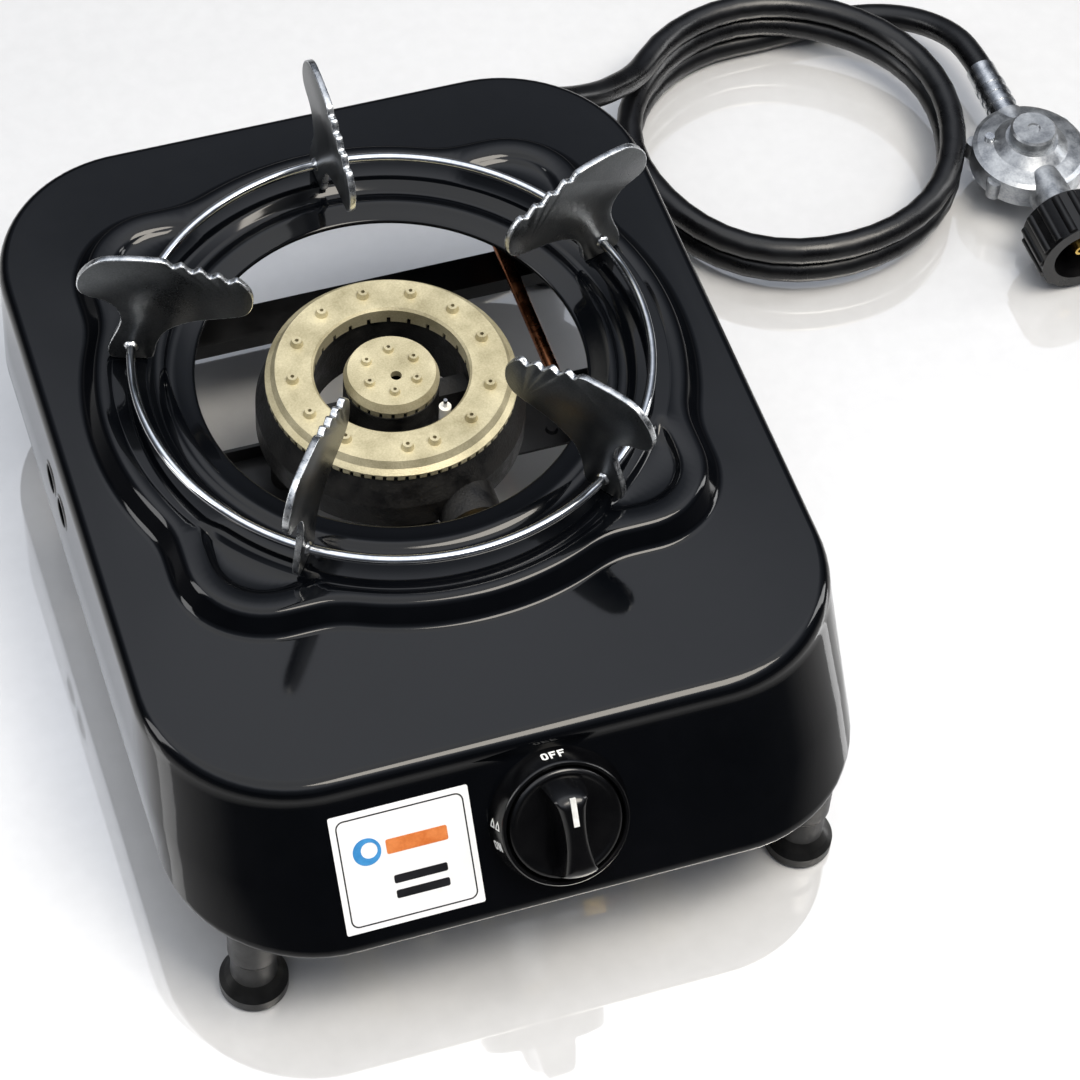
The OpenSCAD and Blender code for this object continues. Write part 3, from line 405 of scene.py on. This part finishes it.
def shellRings(t):
    ring, drop = shell["ring"], shell["opening"]
    wall, wallFront, roll = halfW - 0.7, frontD - shell["lean"], shell["roll"]
    edge = [[halfW - shell["flange"], frontD - shell["flange"], backD - shell["flange"], 105, hemZ + t]]
    for q in range(0, 91, 15):  # rolled lower edge
        side = (1 - math.sin(math.radians(q))) * (roll - t)
        z = hemZ + roll - (roll - t) * math.cos(math.radians(q))
        edge.append([halfW - t - side, frontD - t - side - (z - hemZ) * frontSlope, backD - t - side,
                     shell["corner"] - t - side, z])
    corner = shell["corner"] - t
    edge += [[wall - t + 0.3, wallFront - t + (shoulderZ - 70) * frontSlope, backD - t, corner, 70],
             [wall - t, wallFront - t + 2 * frontSlope, backD - t, corner, shoulderZ - 2],
             [wall - t, wallFront - t, backD - t, corner, shoulderZ]]
    for q in range(12, 90, 11):
        x = (1 - math.cos(math.radians(q))) * shell["inset"]
        edge.append([wall - t - x, wallFront - t - x * 1.5, backD - t - x, shell["corner"] - t - x,
                     shoulderZ + (shell["shoulder"] - t) * math.sin(math.radians(q))])
    inset = shell["inset"]
    edge.append([wall - inset, wallFront - inset * 1.5, backD - inset, shell["corner"] - inset, topZ - t])
    edge.append([wall - inset - 4, wallFront - inset * 1.5 - 4, backD - inset - 4,
                 shell["corner"] - inset - 4, topZ - t])
    rings = [[("rect", *row)] for row in edge]
    for d, z, sunk in ((-1.2, topZ, 0), (0, topZ + 0.05, 0), (1.0, topZ + 0.5, 0), (2.2, topZ + 1.9, 0),
                       (5.6, seatZ - 1.9, 0), (6.8, seatZ - 0.55, 0), (8, seatZ - 0.05, 0), (9.4, seatZ, 0),
                       (15.2, seatZ, 0), (16.2, seatZ - 0.1, 0.1), (17.4, seatZ, 0.45), (18.6, seatZ, 0.9),
                       (19.8, seatZ, 1)):
        rings.append([("lobe", d, z - t, sunk)])
    for r, z, sunk in ((ring + 7.2, 0, 1), (ring + 6.2, 0, 0.85), (ring + 5, 0, 0.2), (ring + 4, 0, 0),
                       (ring - 5, 0, 0), (ring - 6.4, -0.3, 0), (ring - 8.6, -2.3, 0), (ring - 9.8, -2.65, 0),
                       (ring - 12.2, -2.75, 0), (ring - 13.2, -2.2, 0), (ring - 14.2, -1.65, 0),
                       (ring - 16.4, -1.7, 0), (ring - 17.6, -2, 0), (drop + 3, -3.2, 0),
                       (drop + 1.2, -3.4, 0), (drop + 0.3, -3.7, 0), (drop, -4.2, 0)):
        rings.append([("round", r, seatZ + z - t, sunk)])
    return [ring[0] for ring in rings]


def shellPoints(rows):
    points = []
    for row in rows:
        for i in range(shell["around"]):
            a = 2 * math.pi * i / shell["around"]
            sink = shell["pocket"] * smooth((lobe(a, 16) - shell["ring"] - 8) / 6)
            if row[0] == "rect":
                r, z = ray(a, *row[1:5]), row[5]
            elif row[0] == "lobe":
                r = max(lobe(a, row[1]), shell["ring"] + 8 - (row[1] - 16) * 0.2)
                z = row[2] - row[3] * sink
            else:
                r, z = row[1], row[2] - row[3] * sink
            points.append((r * math.cos(a), r * math.sin(a) + burnerY / mm, z))
    return points


def cutHoles(piece, spots):  # each spot: place, direction, radius, depth
    cutters = []
    for spot, direction, radius, depth in spots:
        bpy.ops.mesh.primitive_cylinder_add(vertices=48, radius=radius * mm, depth=depth * mm,
                                            location=Vector(spot) * mm)
        cutter = bpy.context.object
        cutter.rotation_euler = Vector(direction).to_track_quat("Z", "Y").to_euler()
        bpy.context.view_layer.update()
        cutters.append(cutter)
    for cutter in cutters:
        applyModifier(piece, "BOOLEAN", operation="DIFFERENCE", object=cutter, solver="EXACT")
        bpy.data.objects.remove(cutter)


ventSpots = [(-halfW + 0.7, burnerY / mm + 2 + s * shell["ventPitch"] / 2, topZ - 30) for s in (-1, 1)]


def makeHousing():
    outer = shellRings(0)
    rows = outer + shellRings(shell["sheet"])[::-1]
    points = shellPoints(rows)
    n, count = shell["around"], len(rows)
    faces = [[j * n + i, j * n + (i + 1) % n, (j + 1) % count * n + (i + 1) % n, (j + 1) % count * n + i]
             for j in range(count) for i in range(n)]
    piece = addPiece("housing_shell", points, faces, ["glossEnamel"], "stove", 50)
    knobSpot = (6, -(frontD - shell["lean"] + (shoulderZ - knobZ) * frontSlope) + burnerY / mm, knobZ)
    out = (0, -math.cos(frontLean), math.sin(frontLean))
    cutHoles(piece, [(spot, (1, 0, 0), shell["ventDiameter"] / 2, 12) for spot in ventSpots]
             + [(knobSpot, out, 9, 24), ((20, backD + burnerY / mm, hemZ + 21), (0, 1, 0), 7.5, 16)])
    piece.data.set_sharp_from_angle(angle=math.radians(50))
    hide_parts("housing")


makeHousing()
for index, spot in enumerate(ventSpots):  # rolled lip round each vent
    turn = Matrix.Translation(Vector(spot)) @ Matrix.Rotation(-math.pi / 2, 4, "Y")
    lip = [(6, -0.4), (6.2, 0.35), (6.8, 0.62), (7.6, 0.5), (8.3, 0.1), (8.4, -0.4)]
    points, faces = lathe(lip, 64, turn)
    addPiece(f"vent_lip_{index + 1}", points, faces, ["glossEnamel"], "stove")
print("housing made")

# Pan support: chrome ring and five pressed arms
support = {"height": 60, "drawn": 40, "thick": 2.8, "inner": 55, "outer": 124, "wire": 4, "notches": 4}


def armOutline():
    ring, outer, inner, tall = shell["ring"], support["outer"], support["inner"], support["drawn"]
    path = [(ring - 7.5, 0.6), (ring, 0.3), (ring + 7, 0.5), (ring + 9.3, 2), (ring + 8.6, 6),
            (ring + 4.6, 13), (ring + 3.6, 17), (ring + 5.4, 21), (ring + 9.5, 23.6),
            (outer - 5, 25), (outer - 1.4, 26.6),
            (outer, 29.4), (outer - 1, 33), (outer - 4.5, tall - 3.4), (outer - 10, tall - 0.7),
            (outer - 18, tall), (outer - 27, tall - 0.1), (outer - 35, tall - 0.8)]
    last = 2 * support["notches"] - 1
    for k in range(last + 1):
        t = k / last
        notch = 1.3 if k % 2 == 0 else -0.5
        path.append((outer - 38 - t * (outer - 38 - inner - 6), tall - 1.6 - 6.4 * t - notch))
    path += [(inner + 2, tall - 10.5), (inner, tall - 14), (inner + 0.6, tall - 18.5),
             (inner + 4, tall - 21.4), (inner + 10, tall - 22.4), (ring - 28, tall - 23.6),
             (ring - 20, tall - 25.5), (ring - 14, 11.5),
             (ring - 10.6, 7), (ring - 9.2, 2.6)]
    loop = curved([(x, y, 0) for x, y in path], 5, True)
    return [Vector((p.x, p.y * support["height"] / tall)) for p in loop]


def makeArm(index):
    outline = armOutline()
    count = len(outline)
    angle = math.radians(18 + 72 * index)
    place = Matrix.Translation((0, burnerY / mm, seatZ)) @ Matrix.Rotation(angle, 4, "Z")
    half, roll = support["thick"] / 2, 0.45
    points, faces, faceFinish = [], [], []
    layers = [(-half, roll), (-half + 0.15, 0.12), (-half + roll, 0),
              (half - roll, 0), (half - 0.15, 0.12), (half, roll)]
    for y, inward in layers:
        for k in range(count):
            along = (outline[(k + 1) % count] - outline[k - 1]).normalized()
            p = outline[k] + Vector((-along.y, along.x)) * inward
            wobble = 0.1 * math.sin(k * 1.7 + index) if inward == 0 else 0  # shear marks on the cut edge
            points.append(place @ Vector((p.x, y, p.y + wobble * 0.3)))
    for j in range(len(layers) - 1):
        for k in range(count):
            n = (k + 1) % count
            faces.append([j * count + k, j * count + n, (j + 1) * count + n, (j + 1) * count + k])
            faceFinish.append(1)
    faces += [list(range(count)), list(range((len(layers) - 1) * count, len(layers) * count))]
    faceFinish += [0, 0]
    piece = addPiece(f"arm_{index + 1}", points, faces, ["hammeredSteel", "groundEdge"], "pan_support",
                     60, faceFinish)
    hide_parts(f"pan_arm_{index + 1}")
    # weld bead where the wire passes through
    wireZ = middle("pan_ring")[2] / mm - seatZ
    bead = [(0.01, -3.4), (1.5, -3.1), (2.7, -2), (3.2, 0), (2.6, 2), (1.4, 3), (0.01, 3.3)]
    beadPoints, beadFaces = lathe(bead, 24, closed=False)
    spot = place @ Matrix.Translation((shell["ring"], 0, wireZ)) @ Matrix.Rotation(math.pi / 2, 4, "X")
    lumpy = [spot @ (p * (1 + 0.09 * math.sin(3.1 * p.x + 2.3 * p.y + 1.9 * p.z + index)))
             for p in beadPoints]
    addPiece(f"weld_bead_{index + 1}", lumpy, beadFaces, ["groundEdge"], "pan_support", 80)


for armIndex in range(5):
    makeArm(armIndex)


def makeRing():
    wireZ = middle("pan_ring")[2] / mm
    r = support["wire"] / 2
    turns = [2 * math.pi * k / 20 for k in range(20)]
    profile = [(shell["ring"] + r * math.cos(a), wireZ + r * math.sin(a)) for a in turns]
    points, faces = lathe(profile, 240, Matrix.Translation((0, burnerY / mm, 0)))
    piece = addPiece("wire_ring", points, faces, ["chromeWire"], "pan_support", 80)
    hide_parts("pan_ring")


makeRing()
print("pan support made")

# Knob, bezel and its printed marks
control = {
    "disc": 22.5, "bezel": 27.5,  # radii
    "bezelHeight": 10.5, "grip": 20, "travel": 3, "waist": 5.2, "flare": 4.0,
}
knobOut = Matrix.Rotation(math.pi / 2 - frontLean, 4, "X")
knobX = middle("knob")[0] / mm
knobY = -(frontD - shell["lean"] + (shoulderZ - knobZ) * frontSlope) + burnerY / mm
knobPlace = Matrix.Translation((knobX, knobY, knobZ)) @ knobOut  # +Z out of the wall, +Y up along it
discLow = 2.4 + control["travel"] + 0.4
discHigh = discLow + 5


def makeBezel():
    b, h, d = control["bezel"], control["bezelHeight"], control["disc"]
    profile = [(9.5, 0), (b, 0), (b, 0.9), (b - 0.3, 1.5), (b - 2.1, h - 1.2), (b - 2.35, h - 0.5),
               (b - 2.8, h - 0.08), (d + 1.2, h - 0.1), (d + 0.85, h - 0.5), (d + 0.7, h - 2),
               (d + 0.65, 3), (d + 0.2, 2.4), (9.5, 2.4)]
    points, faces = lathe(profile, 160, knobPlace)
    piece = addPiece("knob_bezel", points, faces, ["mouldedAbs"], "stove", 35)
    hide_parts("bezel")


def makeKnob():
    d = control["disc"]
    profile = [(3.1, discLow), (d - 0.8, discLow), (d - 0.25, discLow + 0.35), (d, discLow + 1),
               (d, discHigh - 1.6), (d - 0.3, discHigh - 0.8), (d - 1.1, discHigh - 0.2),
               (d - 2.2, discHigh), (d - 3, discHigh - 0.35), (d - 4, discHigh - 0.4),
               (6, discHigh - 0.4), (3.1, discHigh - 0.4)]
    points, faces = lathe(profile, 160, knobPlace)
    disc = addPiece("knob_disc", points, faces, ["mouldedAbs"], "knob", 35)
    length, top = d - 1.6, discLow + control["grip"]
    points, faces = [], []
    levels = [(discHigh - 1, 0, 0.9), (discHigh - 0.3, 0, 0.5), (discHigh + 2, 0.6, 0),
              (discHigh + 8, 2.2, -0.5), (top - 3.4, 3.8, -0.9), (top - 2, 4.6, -1.3),
              (top - 1, 5.6, -2), (top - 0.35, 6.8, -2.9),
              (top - 0.06, 8, -3.7), (top, 9.2, -4.4)]
    side = 28
    for z, shorter, wider in levels:
        reach = length - shorter
        loop = []
        for k in range(side + 1):
            y = -reach * math.cos(math.pi * k / side)
            width = control["waist"] + wider * 0.8 + control["flare"] * (y / length) ** 2
            loop.append((min(width, math.sqrt(max(reach * reach - y * y, 0))), y))
        ring = loop + [(-x, y) for x, y in loop[-2:0:-1]]
        points += [knobPlace @ Vector((x, y, z)) for x, y in ring]
    n = 2 * side
    for j in range(len(levels) - 1):
        for k in range(n):
            faces.append([j * n + k, j * n + (k + 1) % n, (j + 1) * n + (k + 1) % n, (j + 1) * n + k])
    last = (len(levels) - 1) * n
    faces += [list(range(n))[::-1]]
    for k in range(1, side - 1):  # top face as a strip of quads, which keeps it clean
        faces.append([last + k, last + k + 1, last + (n - k - 1) % n, last + (n - k) % n])
    faces.append([last, last + 1, last + n - 1])
    faces.append([last + side - 1, last + side, last + side + 1])
    addPiece("knob_grip", points, faces, ["mouldedAbs"], "knob", 50)
    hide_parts("knob")


def makeMark(name, shape, place, finishName="whitePrint", depth=0.12):
    # flat outlines with holes, given a small thickness
    line = bpy.data.curves.new(name, "CURVE")
    line.dimensions = "2D"
    line.fill_mode = "BOTH"
    line.extrude = depth / 2 * mm
    for loop in shape:
        spline = line.splines.new("POLY")
        spline.points.add(len(loop) - 1)
        for point, (x, y) in zip(spline.points, loop):
            point.co = (x * mm, y * mm, 0, 1)
        spline.use_cyclic_u = True
    holder = bpy.data.objects.new(name + "_line", line)
    bpy.context.collection.objects.link(holder)
    graph = bpy.context.evaluated_depsgraph_get()
    mesh = bpy.data.meshes.new_from_object(holder.evaluated_get(graph))
    bpy.data.objects.remove(holder)
    points = [place @ (v.co / mm) for v in mesh.vertices]
    faces = [list(p.vertices) for p in mesh.polygons]
    return addPiece(name, points, faces, [finishName], "stove", 30)


def boxLoop(w, h, r, x=0, y=0, steps=6):
    loop = []
    for cx, cy, start in ((w / 2 - r, h / 2 - r, 0), (r - w / 2, h / 2 - r, 90), (r - w / 2, r - h / 2, 180),
                          (w / 2 - r, r - h / 2, 270)):
        for k in range(steps + 1):
            a = math.radians(start + 90 * k / steps)
            loop.append((x + cx + r * math.cos(a), y + cy + r * math.sin(a)))
    return loop


def letterLoops(text, tall):  # plain block letters for OFF and ON, on a 0.6 wide cell
    stroke, wide, loops, x = tall * 0.19, tall * 0.62, [], 0
    for letter in text:
        if letter == "O":
            inside = wide - 2 * stroke
            loops += [boxLoop(wide, tall, wide * 0.45, x + wide / 2),
                      boxLoop(inside, tall - 2 * stroke, inside * 0.45, x + wide / 2)[::-1]]
        elif letter == "F":
            h = tall / 2
            arm = x + wide * 0.85
            loops.append([(x, -h), (x + stroke, -h), (x + stroke, -stroke * 0.4), (arm, -stroke * 0.4),
                          (arm, stroke * 0.6), (x + stroke, stroke * 0.6), (x + stroke, h - stroke),
                          (x + wide, h - stroke), (x + wide, h), (x, h)])
        elif letter == "N":
            h = tall / 2
            near, far = x + stroke, x + wide - stroke
            loops.append([(x, -h), (near, -h), (near, h * 0.35), (far, -h), (x + wide, -h),
                          (x + wide, h), (far, h), (far, -h * 0.35), (near, h), (x, h)])
        x += wide + stroke * 0.9
    shift = (x - stroke * 0.9) / 2
    return [[(px - shift, py) for px, py in loop] for loop in loops]


def onCone(angle, turn=0):  # on the bezel's sloping side, at an angle round it
    b, h = control["bezel"], control["bezelHeight"]
    slope = math.atan2(1.8, h - 2.7)
    return (knobPlace @ Matrix.Rotation(math.radians(angle), 4, "Z")
            @ Matrix.Translation((0, b - 0.95, h / 2)) @ Matrix.Rotation(-(math.pi / 2 - slope), 4, "X")
            @ Matrix.Rotation(math.radians(turn), 4, "Z"))


makeBezel()
makeKnob()
makeMark("mark_off", letterLoops("OFF", 4.2), onCone(0))
makeMark("mark_on", letterLoops("ON", 3.9), onCone(99, -90))
flame = [(-1.5, -1.6), (1.5, -1.6), (1.1, 0.3), (0, 2), (-1.1, 0.3)]
flameHole = [(x * 0.55, y * 0.6 - 0.2) for x, y in flame][::-1]
flames = [[(x + dx, y) for x, y in loop] for dx in (-1.9, 1.9) for loop in (flame, flameHole)]
makeMark("mark_flames", flames, onCone(80, -90))
print("knob made")

# Label: blank film with a border, a ring and plain bars
label = {
    "width": 55, "height": 49, "x": -54.5, "drop": 3,
    "ink": 0.08,  # mm thick
    "bars": [("bar_1", 21, 3.4, 4.5, -6.2, "blackInk"), ("bar_2", 21, 3.4, 4.5, -12.4, "blackInk"),
             ("bar_3", 24, 6, 5, 7.5, "orangeInk")],  # name, width, height, x, y, finish
}


def makeLabel():
    w, h = label["width"], label["height"]
    base = (Matrix.Translation((label["x"], knobY, knobZ)) @ knobOut
            @ Matrix.Translation((0, -label["drop"], 0)))
    film = makeMark("label_film", [boxLoop(w - 0.4, h - 0.4, 0.8)], base @ Matrix.Translation((0, 0, 0.17)),
                    "vinylFilm", 0.26)
    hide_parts("label")
    above = base @ Matrix.Translation((0, 0, 0.33))
    border = [boxLoop(w - 5, h - 5, 3.2), boxLoop(w - 6.1, h - 6.1, 2.7)[::-1]]
    makeMark("label_border", border, above, "blackInk", label["ink"])
    for name, wide, tall, x, y, ink in label["bars"]:
        makeMark("label_" + name, [boxLoop(wide, tall, 0.8, x, y)], above, ink, label["ink"])
    circle = [boxLoop(11, 11, 5.4, -14.5, 7.5, 10), boxLoop(6.4, 6.4, 3.1, -13.6, 7.9, 10)[::-1]]
    makeMark("label_dot", circle, above, "blueInk", label["ink"])


makeLabel()
print("label made")

# Table and light
studio = {"table": 4.0, "sky": 2.0}  # half the table in metres, strength of the sky


def makeTable():
    half = studio["table"]
    corners = [(-half, -half, 0), (half, -half, 0), (half, half, 0), (-half, half, 0)]
    table = addPiece("table", corners, [[0, 1, 2, 3]], ["whiteLacquer"], None, 30, None, 1)


def addLight(name, place, aim, size, power, colour="#ffffff"):
    lamp = bpy.data.lights.new(name, "AREA")
    lamp.shape = "RECTANGLE"
    lamp.size, lamp.size_y = size
    lamp.energy = power
    lamp.color = linear(colour)[:3]
    made = bpy.data.objects.new(name, lamp)
    made.location = place
    made.rotation_euler = (Vector(aim) - Vector(place)).to_track_quat("-Z", "Y").to_euler()
    bpy.context.collection.objects.link(made)


def makeSky():  # bright overhead, dark at the horizon, so steep faces stay black
    world = bpy.data.worlds.new("studio")
    world.use_nodes = True
    tree = world.node_tree
    place = addNode(tree, "ShaderNodeTexCoord")
    split = addNode(tree, "ShaderNodeSeparateXYZ", {}, {"Vector": (place, "Generated")})
    ramp = addNode(tree, "ShaderNodeValToRGB", {}, {"Fac": (split, "Z")})
    marks = ramp.color_ramp.elements
    marks[0].position, marks[1].position = 0.0, 1.0
    marks[0].color, marks[1].color = linear("#3a3a3c"), linear("#e4e6ea")
    for spot, colour in ((0.3, "#222325"), (0.64, "#5c6068"), (0.74, "#8d929b"), (0.83, "#e0e4ed"),
                         (0.9, "#f0f2f5")):
        marks.new(spot).color = linear(colour)
    tree.links.new(ramp.outputs["Color"], tree.nodes["Background"].inputs["Color"])
    tree.nodes["Background"].inputs["Strength"].default_value = studio["sky"]
    bpy.context.scene.world = world


makeTable()
makeSky()
# name, place, aim, size in metres, watts, colour
addLight("key_panel", (0.65, -0.6, 2.1), (0, 0, 0), (1.2, 0.9), 42, "#fff7ea")
addLight("left_panel", (-1.7, 0.3, 1.0), (0, 0, 0.05), (0.5, 1.2), 9)
addLight("right_strip", (1.7, 0.1, 0.9), (0, 0, 0.05), (0.3, 1.2), 8)
bpy.context.scene.view_settings.view_transform = "Standard"
print("table and light made")
